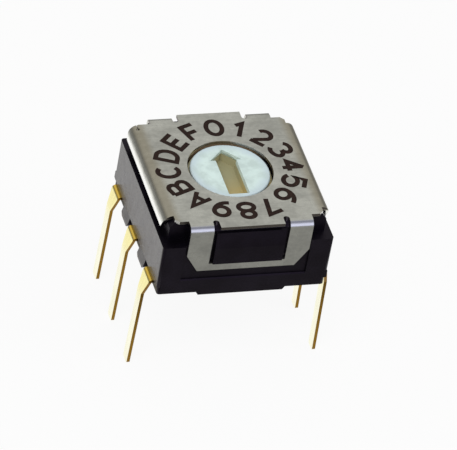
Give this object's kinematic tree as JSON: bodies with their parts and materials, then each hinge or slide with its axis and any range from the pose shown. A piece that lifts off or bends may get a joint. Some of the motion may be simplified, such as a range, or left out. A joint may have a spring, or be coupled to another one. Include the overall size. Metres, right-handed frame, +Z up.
{
  "type": "rotary code switch",
  "caption": "Square through-hole rotary code switch with a screwdriver-set dial in a bent metal cover and two rows of flat pins.",
  "frame": {"origin": "on the rotor's axis, on the underside of the standoff, which is the face of the board", "axes": "+Z up along the rotor's axis, +Y to the rear, where the arrow points at rest, +X to the right; the pin rows run along Y"},
  "size_m": [0.008, 0.0072, 0.0075],
  "materials": {
    "cover_sheet": "satin plated sheet",
    "case_plastic": "moulded, semi-matt",
    "dial_plastic": "moulded",
    "rotor_plastic": "moulded",
    "seal_rubber": "matt",
    "spring_steel": "bright",
    "contact_gold": "gold plated"
  },
  "bodies": {
    "case": {"cover": "cover_sheet", "housing": "case_plastic", "base": "case_plastic", "detent_spring": "spring_steel", "contact_common": "contact_gold", "contact_bit_8": "contact_gold", "contact_bit_4": "contact_gold", "contact_bit_2": "contact_gold", "contact_bit_1": "contact_gold"},
    "rotor": {"rotor": "rotor_plastic", "dial": "dial_plastic", "seal_ring": "seal_rubber", "code_disc": "contact_gold"}
  },
  "joints": [
    {"name": "rotor_turn", "type": "hinge", "parent": "case", "child": "rotor", "pos_m": [0, 0, 0], "axis": [0, 0, 1], "continuous": true, "deforming": ["detent_spring"]}
  ]
}
